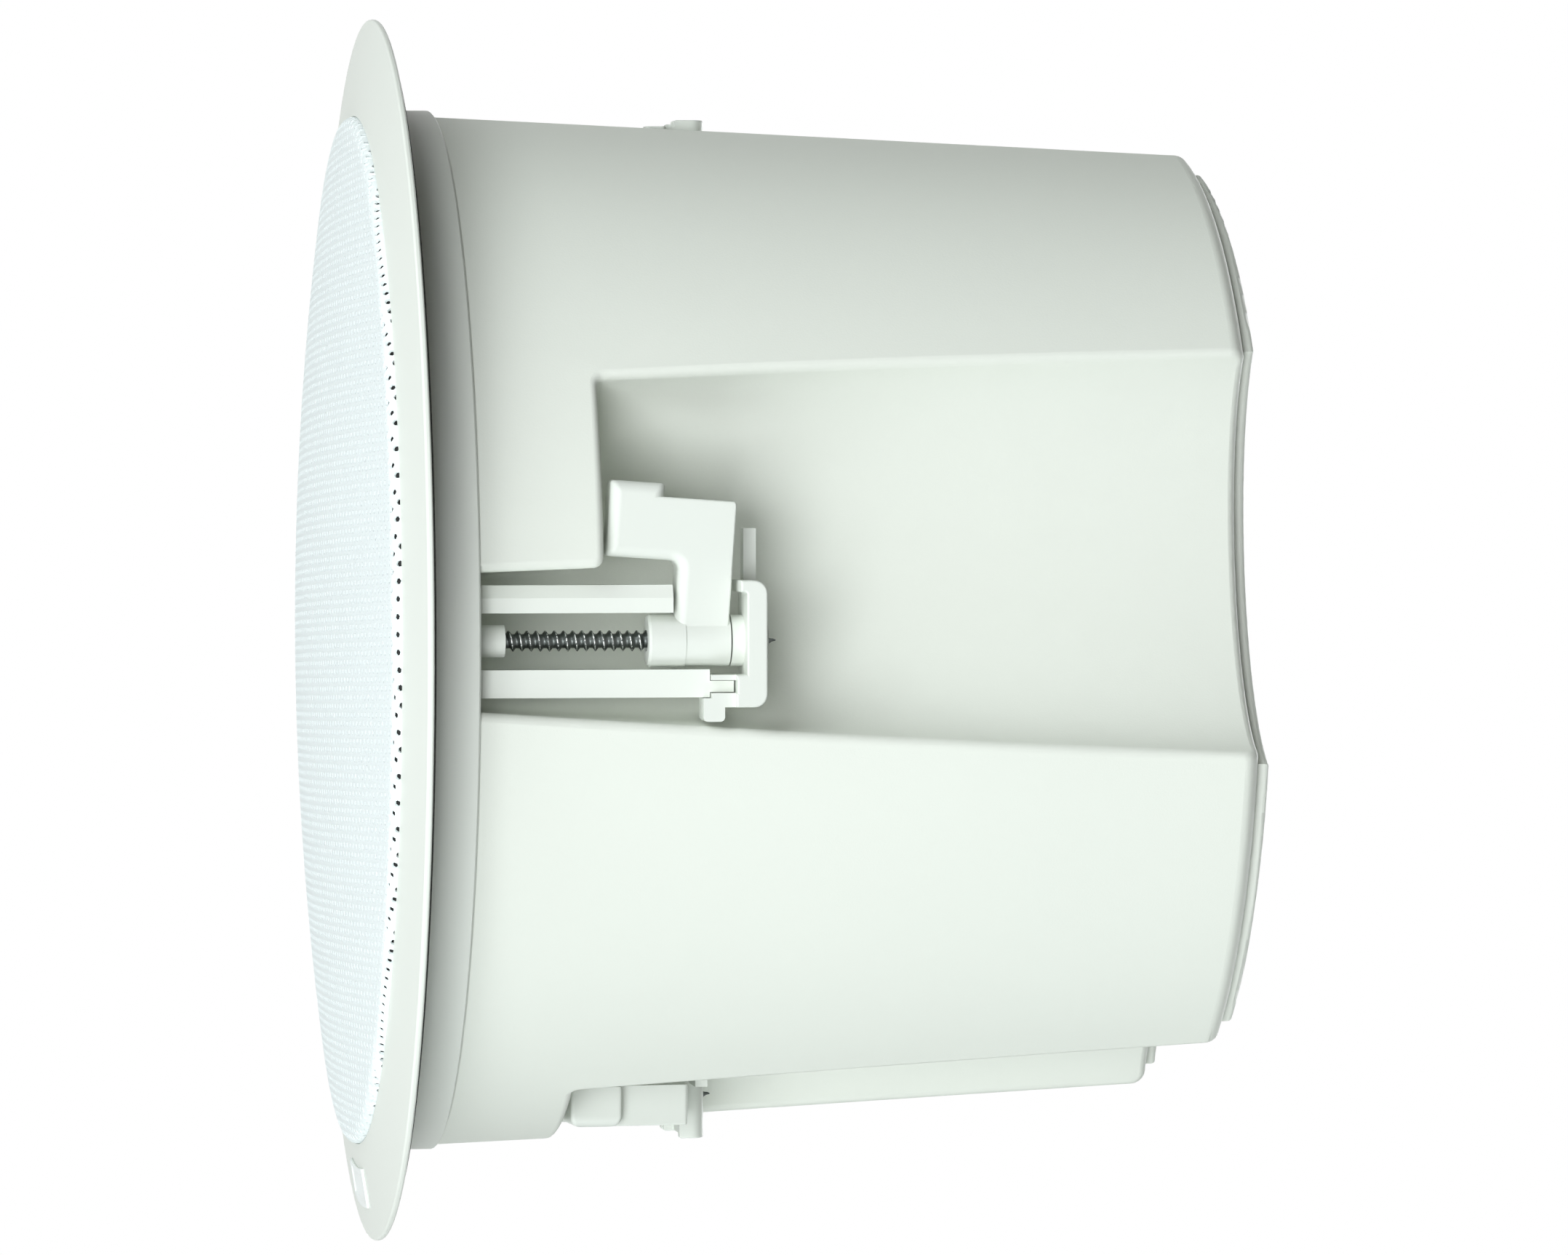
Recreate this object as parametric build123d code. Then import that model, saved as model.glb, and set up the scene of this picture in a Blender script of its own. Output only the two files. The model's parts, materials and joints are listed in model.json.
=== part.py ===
from build123d import *
import math
import os

# In-ceiling speaker, in millimetres. The ceiling's underside is the plane z = 0, the can stands up
# into the void above it (+Z) and the grille looks down (-Z). The origin is on the can's axis.
# Clamp sizes are given as t (along the wall), n (outward from the axis) and z (up), for the clamp
# that faces -Y, so that t is +X and n is -Y. The other clamps are turned copies.

# Bezel
neck_radius = 106.5
neck_wall = 3.8
seam_height = 10.2
seam_step = 0.8
seam_bevel = 0.35
flange_overhang = 18.5
rim_thickness = 1.25
rim_round = 0.5
face_rise = 3.1
lip_step = 1.2
groove_width = 2.2
ridge_width = 2.0
ridge_height = 3.5
baffle_height = 1.0
baffle_thickness = 4.0

# Ceiling seal
seal_thickness = 0.6
seal_width = 12.0
seal_inset = 3.0

# Grille
grille_clearance = 0.15
grille_sheet = 1.0
grille_bulge = 9.5
grille_bend = 1.9
cloth_sheet = 0.3
cloth_gap = 0.05

# Badge on the flange
badge_length = 26.0
badge_width = 8.0
badge_thickness = 0.6
badge_inset = 6.6

# Back can
can_draft = 2.1
can_wall = 3.0
can_rear = 165.0
can_edge_round = 3.2
panel_inset = 3.6
panel_rise = 2.6
panel_edge_round = 1.0
spigot_clearance = 0.3
gasket_thickness = 2.0

# Scooped pockets in the can, one behind each clamp
clamp_count = 4
pocket_turn = 10.4
pocket_inset = 7.3
pocket_front_width = 66.8
pocket_rear_width = 84.0
pocket_front_depth = 24.0
pocket_rear_depth = 25.0
pocket_lip_round = 1.6
slot_side = 13.4
slot_corner_round = 2.2

# Screws that hold the can to the bezel
can_screw_turn = 34.0
can_screw_length = 21.0
can_boss_radius = 4.4
can_boss_rise = 19.0
can_rib_width = 3.0

# Clamps
clamp_inset = 10.3
rail_gap = 11.0
rail_width = 5.4
rail_inner_depth = 2.7
rail_outer_depth = 4.8
rail_bevel_width = 2.5
rail_bevel_depth = 1.2
long_rail_top = 55.3
tongue_width = 2.2
tongue_length = 4.7
tongue_offset = 2.2
screw_boss_radius = 3.15
screw_boss_top = 15.7
clamp_screw_radius = 2.05
clamp_screw_proud = 2.6
clamp_screw_point = 6.0
clamp_head_radius = 3.9
clamp_head_height = 2.4
clamp_head_gap = 0.2
drive_width = 0.9
drive_length = 4.4
drive_depth = 1.4
running_gap = 0.3
thread_gap = 0.05

# Swing-out foot of a clamp
barrel_radius = 5.2
barrel_length = 16.0
barrel_collar = 7.2
barrel_step = 0.2
barrel_bevel = 0.5
arm_depth = 8.2
arm_lean = 4.0
arm_pivot_drop = 6.9
arm_drop = 0.6
arm_height = 10.5
arm_clearance = 0.2
arm_edge_round = 0.4
foot_reach = 30.1
foot_root = 15.3
foot_height = 24.7
foot_clearance = 0.3
nose_height = 10.6
nose_step = 2.6
nose_round = 2.2
foot_corner_round = 0.8
arm_corner_round = 1.8

# End cap of a clamp
cap_rise = 6.9
cap_thickness = 4.0
cap_hook_drop = 1.2
cap_hook_width = 2.2
cap_upper = 11.75
cap_lower = 12.8
cap_inset = 2.1
cap_depth = 13.4
cap_corner_round = 2.6
cap_edge_round = 0.4
cap_fit = 0.15
cap_finger = 1.0
cap_collar_radius = 5.0
cap_collar_length = 2.4
cap_dome_radius = 4.2
cap_dome_rise = 0.8
tab_reach = 2.8
tab_drop = 1.5
tab_height = 4.2
tab_depth = 6.6
leg_setback = 1.4
leg_step_drop = 2.1
ear_reach = 10.0
ear_depth = 4.0
ear_thickness = 2.5

# Small self-tapping screws
screw_radius = 1.6
screw_head_radius = 3.2
screw_head_height = 2.0
screw_hole_gap = 0.4

# Woofer basket
basket_inset = 25.5
basket_rim = 11.2
basket_sheet = 1.0
basket_hole_gap = 0.7
ledge_radius = 51.0
ledge_height = 30.0
ledge_width = 7.0
basket_depth = 39.0
basket_base_hole = 21.0
basket_windows = 6
window_width = 34.0
window_low = 6.0
window_high = 25.0
driver_screw_inset = 5.2
driver_screw_length = 11.0
driver_boss_radius = 3.6
driver_boss_rise = 8.0

# Woofer moving parts
cone_lip = 3.5
cone_depth = 23.5
cone_sheet = 0.9
cone_bow = 1.6
surround_roll = 4.5
surround_sheet = 0.7
surround_landing = 5.0
surround_inset = 9.0
surround_overlap = 2.5
coil_radius = 13.0
former_wall = 0.2
former_low = 20.0
former_high = 47.0
winding_wall = 0.45
winding_length = 10.0
spider_sheet = 0.6
spider_collar = 3.0
spider_landing = 6.0
spider_wave = 1.2
spider_folds = 6

# Woofer motor
top_plate_radius = 40.0
top_plate_thickness = 6.0
coil_gap = 0.55
pole_gap = 0.5
magnet_radius = 44.0
magnet_bore = 20.0
magnet_thickness = 15.0
yoke_radius = 42.0
yoke_thickness = 6.0

# Tweeter on its post
post_radius = 4.0
post_bore = 1.8
post_gap = 0.05
post_nut_width = 13.0
post_nut_height = 5.0
tweeter_radius = 17.0
tweeter_front_z = -1.5
tweeter_depth = 12.5
tweeter_wall = 1.5
tweeter_magnet_radius = 11.0
tweeter_magnet_height = 5.0
dome_radius = 12.5
dome_rise = 4.2
dome_sheet = 0.4
dome_former_length = 4.0
dome_surround_width = 3.0
tweeter_front_radius = 19.5
tweeter_front_thickness = 2.6
tweeter_front_opening = 13.6

# Crossover board inside the can's rear
board_length = 84.0
board_width = 44.0
board_thickness = 1.6
board_drop = 10.0
board_hole_inset = 5.0
board_boss_radius = 3.2
board_screw_length = 7.0
inductor_radius = 13.0
inductor_height = 14.0
inductor_flange = 1.2
inductor_core = 5.0
inductor_x = -24.0
capacitor_radius = 6.5
capacitor_length = 26.0
capacitor_pitch = 15.0
capacitor_x = 2.0
resistor_length = 22.0
resistor_width = 9.0
resistor_height = 8.0
resistor_x = 30.0

# Input terminal in a recess of the rear panel
recess_length = 60.0
recess_width = 36.0
recess_depth = 8.0
recess_wall = 2.6
terminal_length = 30.0
terminal_width = 12.0
terminal_gap = 0.5
terminal_drop = 2.6
terminal_ways = 4
terminal_hole_radius = 1.9
terminal_hole_depth = 6.0
cover_margin = 3.0
cover_thickness = 1.5
cover_fit = 0.2
cover_screw_span = 52.0
cover_post_radius = 3.0
cover_screw_length = 6.0
cover_screw_radius = 1.4
cover_head_radius = 2.6
bush_offset = 11.0
bush_radius = 5.0
bush_bore = 3.2
bush_lip = 1.2
bush_lip_height = 0.8

# Wiring and damping
tag_length = 14.0
tag_width = 5.0
tag_thickness = 1.6
lead_radius = 1.4
lead_spacing = 5.0
lead_bend = 9.0
pad_low = 95.0
pad_thickness = 30.0
pad_gap = 0.5
pad_hole_radius = 9.0

# Worked-out places
clamp_turn = 360 / clamp_count
flange_radius = neck_radius + flange_overhang
flange_back = -seal_thickness
rim_front = flange_back - rim_thickness
lip_front = rim_front - face_rise
lip_radius = neck_radius - lip_step
grille_radius = lip_radius - grille_clearance
grille_apex = lip_front - grille_bulge
groove_inner = lip_radius - groove_width
ridge_inner = groove_inner - ridge_width
neck_inner = neck_radius - neck_wall
baffle_back = baffle_height + baffle_thickness
basket_front = baffle_height - basket_sheet
spigot_front = baffle_back + gasket_thickness
spigot_radius = neck_inner - spigot_clearance
panel_top = can_rear + panel_rise
can_inner_rear = can_rear - can_wall
panel_under = panel_top - can_wall
clamp_radius = neck_radius - clamp_inset
rail_start = rail_gap / 2
rail_end = rail_start + rail_width
rail_inner = clamp_radius - rail_inner_depth
rail_outer = clamp_radius + rail_outer_depth
tongue_start = rail_start + tongue_offset
tongue_end = tongue_start + tongue_width
cap_low = long_rail_top + cap_rise
cap_top = cap_low + cap_thickness
cap_outer = neck_radius - cap_inset
cap_inner = cap_outer - cap_depth
tab_low = long_rail_top - tab_drop
tab_high = tab_low + tab_height
clamp_screw_tip = cap_top + clamp_screw_proud
barrel_high = cap_low - cap_collar_length - running_gap
barrel_low = barrel_high - barrel_length
arm_high = barrel_high - arm_drop
arm_pivot = arm_high - arm_pivot_drop
web_low = arm_high - arm_height
short_rail_top = web_low - arm_clearance
foot_low = arm_high - foot_height
nose_high = foot_low + nose_height
pocket_front = foot_low + foot_clearance
pocket_centre = neck_radius - pocket_inset
clamp_hole_radius = clamp_screw_radius + running_gap
can_screw_circle = clamp_radius
basket_radius = neck_radius - basket_inset
basket_neck = basket_radius - basket_rim
driver_screw_circle = basket_radius - driver_screw_inset
screw_hole_radius = screw_radius + screw_hole_gap
screw_pilot_radius = screw_radius + thread_gap
plate_front = basket_depth
plate_back = plate_front + top_plate_thickness
magnet_back = plate_back + magnet_thickness
yoke_back = magnet_back + yoke_thickness
pole_radius = coil_radius - former_wall - pole_gap
plate_bore = coil_radius + winding_wall + coil_gap
cone_radius = basket_radius - surround_inset - surround_landing - 2 * surround_roll
roll_centre = cone_radius + surround_roll
surround_outer = roll_centre + surround_roll
cup_back = tweeter_front_z + tweeter_depth
board_back = can_inner_rear - board_drop
board_front = board_back - board_thickness
recess_floor = panel_top - recess_depth
recess_under = recess_floor - recess_wall
cover_low = panel_top - cover_thickness
terminal_top = panel_top - terminal_drop
pad_high = pad_low + pad_thickness
tag_circle = ledge_radius - ledge_width / 2
tag_top = ledge_height + tag_thickness
lead_x = (capacitor_x + capacitor_pitch / 2 + capacitor_radius + resistor_x - resistor_width / 2) / 2
lead_turn = (pad_high + board_front - inductor_height) / 2


# Shapes used by many pieces

def turned(corners):
    """Solid turned about the axis from (radius, z) corners."""
    return revolve(Plane.XZ * make_face(Polyline(*corners, close=True)), Axis.Z)


def ring(outer, inner, low, high):
    return turned([(inner, low), (outer, low), (outer, high), (inner, high)])


def rod(x, y, radius, low, high):
    base = (Align.CENTER, Align.CENTER, Align.MIN)
    return Pos(x, y, low) * Cylinder(radius, high - low, align=base)


def block(low, high):
    """Box between two opposite corners."""
    size = [b - a for a, b in zip(low, high)]
    return Pos(*low) * Box(*size, align=Align.MIN)


def on_clamp(t, n, radius, low, high):
    return rod(t, -n, radius, low, high)


def clamp_bar(corners, low, high):
    """Upright bar with the given (t, n) corners."""
    plan = make_face(Polyline(*[(t, -n) for t, n in corners], close=True))
    return extrude(Pos(0, 0, low) * plan, high - low)


def clamp_plate(corners, rounds, inner, outer):
    """Plate with the given (t, z) corners, between two distances n from the axis."""
    outline = make_face(FilletPolyline(*corners, radius=rounds, close=True))
    return extrude(Plane.XZ.offset(inner) * outline, outer - inner)


def turned_copies(piece, turn=0.0):
    """Copies of a piece, one for each clamp position."""
    return [Rot(0, 0, turn + clamp_turn * k) * piece for k in range(clamp_count)]


def polar(radius, angle):
    return radius * math.cos(math.radians(angle)), radius * math.sin(math.radians(angle))


def tapping_screw(x, y, head_face, length):
    """Pan-head screw that points up, with its head under the given height."""
    shank = rod(x, y, screw_radius, head_face, head_face + length)
    head = rod(x, y, screw_head_radius, head_face - screw_head_height, head_face)
    rim = head.edges().group_by(Axis.Z)[0]
    head = fillet(rim, screw_head_height / 2)
    return head + shank - cross_recess(x, y, head_face - screw_head_height)


def cross_recess(x, y, low):
    long = (drive_length, drive_width, drive_depth)
    wide = (drive_width, drive_length, drive_depth)
    base = (Align.CENTER, Align.CENTER, Align.MIN)
    return Pos(x, y, low) * (Box(*long, align=base) + Box(*wide, align=base))


def can_screw_places():
    first = -90 + can_screw_turn
    return [polar(can_screw_circle, first + clamp_turn * k) for k in range(clamp_count)]


def driver_screw_places():
    first = -90 + can_screw_turn
    return [polar(driver_screw_circle, first + clamp_turn * k) for k in range(clamp_count)]


def flange_face_z(radius):
    """Height of the flange's front face, which rises from the rim to the grille."""
    share = (flange_radius - radius) / (flange_radius - lip_radius)
    return rim_front - face_rise * share


# Bezel, seal, grille and badge

def clamp_posts():
    """Two rails and the screw boss of the clamp that faces -Y."""
    bevel_t = rail_end - rail_bevel_width
    bevel_n = rail_outer - rail_bevel_depth
    short = [(-rail_start, rail_inner), (-rail_start, rail_outer), (-bevel_t, rail_outer),
             (-rail_end, bevel_n), (-rail_end, rail_inner)]
    long = [(rail_start, rail_inner), (rail_start, rail_outer), (rail_end, rail_outer),
            (rail_end, rail_inner)]
    tongue = [(tongue_start, rail_inner), (tongue_start, rail_outer), (tongue_end, rail_outer),
              (tongue_end, rail_inner)]
    posts = clamp_bar(short, baffle_height, short_rail_top)
    posts += clamp_bar(long, baffle_height, long_rail_top)
    posts += clamp_bar(tongue, baffle_height, long_rail_top + tongue_length)
    return posts + on_clamp(0, clamp_radius, screw_boss_radius, baffle_height, screw_boss_top)


def front_bezel():
    ridge_front = baffle_height - ridge_height
    driver_hole = basket_neck + basket_hole_gap
    body = turned([
        (lip_radius, lip_front), (flange_radius, rim_front), (flange_radius, flange_back),
        (neck_radius, flange_back), (neck_radius, seam_height - seam_bevel),
        (neck_radius - seam_bevel, seam_height), (neck_inner, seam_height),
        (neck_inner, baffle_back), (driver_hole, baffle_back), (driver_hole, baffle_height),
        (ridge_inner, baffle_height), (ridge_inner, ridge_front), (groove_inner, ridge_front),
        (groove_inner, baffle_height), (lip_radius, baffle_height)])
    rim = [e for e in body.edges().filter_by(GeomType.CIRCLE)
           if abs(e.radius - flange_radius) < rim_round / 2]
    body = fillet(rim, rim_round)
    for posts in turned_copies(clamp_posts()):
        body += posts
    clamp_bore = on_clamp(0, clamp_radius, clamp_hole_radius, lip_front, screw_boss_top)
    for bore in turned_copies(clamp_bore):
        body -= bore
    for x, y in can_screw_places():
        body -= rod(x, y, screw_hole_radius, lip_front, baffle_back)
    for x, y in driver_screw_places():
        boss_top = baffle_back + driver_boss_rise
        body += rod(x, y, driver_boss_radius, baffle_height, boss_top)
        body -= rod(x, y, screw_pilot_radius, lip_front, boss_top)
    return body


def ceiling_seal():
    outer = flange_radius - seal_inset
    return ring(outer, outer - seal_width, flange_back, 0)


def dished_curve(outer, apex, bend):
    """Dome from the axis, and the bend that turns it up into a skirt in the plane of the bezel's lip."""
    rise = lip_front - apex
    radius = ((outer - bend) ** 2 + rise ** 2 - bend ** 2) / (2 * (rise - bend))
    slope = math.degrees(math.asin((outer - bend) / (radius - bend)))
    dome = JernArc((0, apex), (1, 0), radius, slope)
    return dome, JernArc(dome @ 1, dome % 1, bend, 90 - slope)


def dished_sheet(under, sheet, back):
    """Sheet that lies under the grille's outside by a distance, with a skirt up to a height."""
    dome, bend = dished_curve(grille_radius - under, grille_apex + under, grille_bend - under)
    deeper = under + sheet
    inner_dome, inner_bend = dished_curve(grille_radius - deeper, grille_apex + deeper, grille_bend - deeper)
    rim = [bend @ 1, (grille_radius - under, back), (grille_radius - deeper, back), inner_bend @ 1]
    section = make_face([*dome.edges(), *bend.edges(), *Polyline(*rim).edges(), *inner_bend.edges(),
                         *inner_dome.edges(), Line(inner_dome @ 0, dome @ 0)])
    return revolve(Plane.XZ * section, Axis.Z)


def grille():
    """Domed sheet whose skirt stands in the bezel's groove."""
    return dished_sheet(0, grille_sheet, baffle_height)


def grille_cloth():
    """Thin cloth that lines the grille and hides what is behind its holes."""
    return dished_sheet(grille_sheet + cloth_gap, cloth_sheet, lip_front + grille_bend)


def blank_badge():
    """Plain plate that follows the flange's face."""
    outer = flange_radius - badge_inset
    inner = outer - badge_width
    plate = turned([(inner, flange_face_z(inner)), (outer, flange_face_z(outer)),
                    (outer, flange_face_z(outer) - badge_thickness),
                    (inner, flange_face_z(inner) - badge_thickness)])
    half = badge_length / 2
    return plate & block((0, -half, lip_front - badge_width), (flange_radius, half, 0))


# Back can

def can_radius(z):
    return neck_radius - seam_step - (z - seam_height) * math.tan(math.radians(can_draft))


def pocket_plan(z, grow):
    """Section of the scoop that faces -Y: half an oval with straight sides, grown by a wall."""
    share = (z - pocket_front) / (can_rear - pocket_front)
    width = pocket_front_width + share * (pocket_rear_width - pocket_front_width)
    depth = pocket_front_depth + share * (pocket_rear_depth - pocket_front_depth)
    side = width / 2 + grow
    floor = EllipticalCenterArc((0, -pocket_centre), side, depth + grow, 0, arc_size=180)
    sides = Polyline(floor @ 1, (-side, -flange_radius), (side, -flange_radius), floor @ 0)
    outline = make_face([*floor.edges(), *sides.edges()])
    return Pos(0, 0, z) * Rot(0, 0, -pocket_turn) * outline


def slot_wall(z):
    """Side of the clamp's slot, which opens towards the rear with the can's draft."""
    return slot_side + (z - seam_height) * math.tan(math.radians(can_draft))


def pocket_shoulder(grow):
    """Space beside the slot and below the pocket's front wall, which the scoop leaves solid."""
    plans = []
    for z in (baffle_height, pocket_front - grow):
        edge = -slot_wall(z) - grow
        far = flange_radius
        corners = [(edge, 0), (-far, 0), (-far, far), (edge, far)]
        outline = make_face(Polyline(*[(t, -n) for t, n in corners], close=True))
        plans.append(Pos(0, 0, z) * outline)
    return loft(plans, ruled=True)


def pocket_void(grow, corner_round):
    """Space of one pocket and its slot, which runs out of the can at both ends."""
    ends = [pocket_plan(z, grow) for z in (baffle_height, panel_top + can_wall)]
    void = loft(ends, ruled=True) - pocket_shoulder(grow)
    front = pocket_front - grow
    corner = (-slot_wall(front) - grow, front)
    edges = [e for e in void.edges().filter_by(GeomType.LINE)
             if math.dist((e.center().X, e.center().Z), corner) < can_wall / 2]
    return fillet(edges, corner_round)


def lip_edges(can):
    """Edges where the pockets break through the can's side and rear."""
    found = []
    for edge in can.edges():
        middle = edge.center()
        around_can = edge.geom_type == GeomType.CIRCLE and middle.Z > pocket_front + can_wall
        on_rear = middle.Z > can_rear - can_wall / 10
        on_side = math.hypot(middle.X, middle.Y) > can_radius(middle.Z) - can_edge_round
        if middle.Z > seam_height + can_wall / 10 and not around_can and (on_rear or on_side):
            found.append(edge)
    return found


def can_outside():
    body = turned([(0, seam_height), (can_radius(seam_height), seam_height),
                   (can_radius(can_rear), can_rear), (0, can_rear)])
    body = fillet(body.edges().group_by(Axis.Z)[-1], can_edge_round)
    body += rod(0, 0, spigot_radius, spigot_front, seam_height)
    for void in turned_copies(pocket_void(0.0, slot_corner_round)):
        body -= void
    body = fillet(lip_edges(body), pocket_lip_round)
    return body + rear_panel(0.0, can_rear)


def rear_panel(inset, low):
    """Raised panel on the can's rear, which follows the rear's outline."""
    plan = Circle(can_radius(can_rear) - panel_inset - inset)
    for pocket in turned_copies(pocket_plan(can_rear, panel_inset + inset)):
        plan -= Pos(0, 0, -can_rear) * pocket
    panel = extrude(Pos(0, 0, low) * plan, panel_rise)
    return fillet(panel.edges().group_by(Axis.Z)[-1], panel_edge_round)


def can_inside():
    bend = seam_height + 2 * can_wall
    body = turned([(0, spigot_front), (spigot_radius - can_wall, spigot_front),
                   (spigot_radius - can_wall, seam_height), (can_radius(bend) - can_wall, bend),
                   (can_radius(can_inner_rear) - can_wall, can_inner_rear), (0, can_inner_rear)])
    for void in turned_copies(pocket_void(can_wall, slot_corner_round)):
        body -= void
    return body + rear_panel(can_wall, can_inner_rear)


def can_screw_boss(x, y):
    top = spigot_front + can_boss_rise
    wall = can_radius(top) - can_wall / 2
    angle = math.degrees(math.atan2(y, x))
    rib = block((can_screw_circle, -can_rib_width / 2, seam_height), (wall, can_rib_width / 2, top))
    boss = rod(x, y, can_boss_radius, spigot_front, top) + Rot(0, 0, angle) * rib
    return boss - rod(x, y, screw_pilot_radius, spigot_front, top)


def terminal_recess():
    """Solid of the cup that holds the terminal, before its hollows are cut."""
    half_x = recess_length / 2 + recess_wall
    half_y = recess_width / 2 + recess_wall
    return block((-half_x, -half_y, recess_under), (half_x, half_y, can_rear))


def box_about_axis(length, width, low, high):
    return block((-length / 2, -width / 2, low), (length / 2, width / 2, high))


def cover_screw_places():
    return [(-cover_screw_span / 2, 0), (cover_screw_span / 2, 0)]


def board_screw_places():
    x = board_length / 2 - board_hole_inset
    y = board_width / 2 - board_hole_inset
    return [(-x, -y), (x, -y), (x, y), (-x, y)]


def back_can():
    body = can_outside() - can_inside()
    for x, y in can_screw_places():
        body += can_screw_boss(x, y)
    body += terminal_recess()
    body -= box_about_axis(recess_length, recess_width, recess_floor, panel_top)
    cover_length = recess_length + 2 * cover_margin
    cover_width = recess_width + 2 * cover_margin
    body -= box_about_axis(cover_length, cover_width, cover_low, panel_top)
    opening = 2 * terminal_gap
    body -= box_about_axis(terminal_length + opening, terminal_width + opening, recess_under, recess_floor)
    for x, y in cover_screw_places():
        body += rod(x, y, cover_post_radius, recess_floor, cover_low)
        body -= rod(x, y, cover_screw_radius + thread_gap, cover_low - cover_screw_length, cover_low)
    for x, y in board_screw_places():
        body += rod(x, y, board_boss_radius, board_back, panel_under)
        body -= rod(x, y, screw_pilot_radius, board_back, can_inner_rear)
    return body


def can_gasket(can):
    """Foam that seals the can's front edge, pockets included, to the baffle."""
    edge = can.faces().filter_by(Axis.Z).sort_by(Axis.Z)[0]
    return extrude(edge, gasket_thickness, dir=(0, 0, -1))


def can_screws():
    return [tapping_screw(x, y, baffle_height, can_screw_length) for x, y in can_screw_places()]


# Clamps

def clamp_dog():
    """Foot that swings on the screw. Its arm leans so that the nose bends flat under load."""
    shoulder = foot_reach - nose_step
    corners = [(-foot_reach, foot_low), (-foot_reach, nose_high), (-shoulder, nose_high),
               (-shoulder, arm_high), (0, arm_high), (0, web_low), (-foot_root, web_low),
               (-foot_root, foot_low)]
    sharp = 0
    rounds = [foot_corner_round, foot_corner_round, sharp, foot_corner_round, sharp, sharp,
              arm_corner_round, foot_corner_round]
    inner = clamp_radius - arm_depth / 2
    outer = inner + arm_depth
    arm = clamp_plate(corners, rounds, inner, outer)
    nose = [e for e in arm.edges().filter_by(Axis.Z)
            if math.dist((e.center().X, -e.center().Y), (-foot_reach, outer)) < nose_round / 2]
    arm = fillet(nose, nose_round)
    rim = arm.faces().filter_by(Axis.Y).sort_by(Axis.Y)[0].edges()
    arm = fillet([e for e in rim if e.center().X < -barrel_radius], arm_edge_round)
    arm = Pos(0, 0, arm_pivot) * Rot(0, arm_lean, 0) * Pos(0, 0, -arm_pivot) * arm
    collar = on_clamp(0, clamp_radius, barrel_radius, barrel_low, barrel_low + barrel_collar)
    collar = chamfer(collar.edges().group_by(Axis.Z)[0], barrel_bevel)
    barrel = on_clamp(0, clamp_radius, barrel_radius - barrel_step, barrel_low + barrel_collar, barrel_high)
    bore = on_clamp(0, clamp_radius, clamp_screw_radius + thread_gap, barrel_low, barrel_high)
    return arm + collar + barrel - bore


def clamp_screw():
    """Long screw with its head under the grille and its point past the end cap."""
    seat = baffle_height - clamp_head_gap
    low = seat - clamp_head_height
    shoulder = clamp_screw_tip - clamp_screw_point
    tip_radius = clamp_screw_radius / 8
    body = turned([(0, seat), (clamp_screw_radius, seat), (clamp_screw_radius, shoulder),
                   (tip_radius, clamp_screw_tip), (0, clamp_screw_tip)])
    head = rod(0, 0, clamp_head_radius, low, seat)
    head = fillet(head.edges().group_by(Axis.Z)[0], clamp_head_height / 2)
    return Pos(0, -clamp_radius, 0) * (head + body - cross_recess(0, 0, low))


def clamp_cap():
    """End cap that bridges the rails, clips round the long one and steadies the screw's point."""
    leg_low = long_rail_top + cap_fit
    slot_top = long_rail_top + tongue_length + 2 * cap_fit
    slot_start = tongue_start - cap_fit
    slot_end = tongue_end + cap_fit
    tab_start = rail_end + cap_fit
    tab_end = cap_lower + tab_reach
    hook_low = cap_low - cap_hook_drop
    hook_end = cap_upper - cap_hook_width
    corners = [(-cap_upper, hook_low), (-cap_upper, cap_top), (cap_lower, cap_top), (cap_lower, leg_low),
               (slot_end, leg_low), (slot_end, slot_top), (slot_start, slot_top), (slot_start, leg_low),
               (slot_start - cap_finger, leg_low), (slot_start - cap_finger, cap_low),
               (-hook_end, cap_low), (-hook_end, hook_low)]
    sharp = 0
    rounds = [sharp, cap_corner_round, cap_corner_round] + [sharp] * (len(corners) - 3)
    rounds[-2] = cap_hook_drop / 2
    body = clamp_plate(corners, rounds, cap_inner, cap_outer)
    leg_outer = cap_outer - leg_setback
    body -= block((0, -cap_outer, leg_low), (cap_lower, -leg_outer, cap_low - leg_step_drop))
    body = fillet(body.faces().filter_by(Axis.Y).sort_by(Axis.Y)[0].outer_wire().edges(), cap_edge_round)
    tab_round = tab_reach / 3
    tab = [(tab_start, tab_low), (tab_end, tab_low), (tab_end, tab_high), (tab_start, tab_high)]
    body += clamp_plate(tab, [sharp, tab_round, tab_round, sharp], leg_outer - tab_depth, leg_outer)
    ear_mid = (cap_low + cap_top) / 2
    ear = block((-cap_upper - ear_reach, -cap_inner - ear_depth / 2, ear_mid - ear_thickness / 2),
                (-hook_end, -cap_inner + ear_depth / 2, ear_mid + ear_thickness / 2))
    collar_low = barrel_high + running_gap
    body += ear + on_clamp(0, clamp_radius, cap_collar_radius, collar_low, cap_low)
    dome = on_clamp(0, clamp_radius, cap_dome_radius, cap_top, cap_top + cap_dome_rise)
    body += chamfer(dome.edges().group_by(Axis.Z)[-1], cap_dome_rise / 2)
    return body - on_clamp(0, clamp_radius, clamp_hole_radius, collar_low, cap_top + cap_dome_rise)


# Woofer

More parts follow.
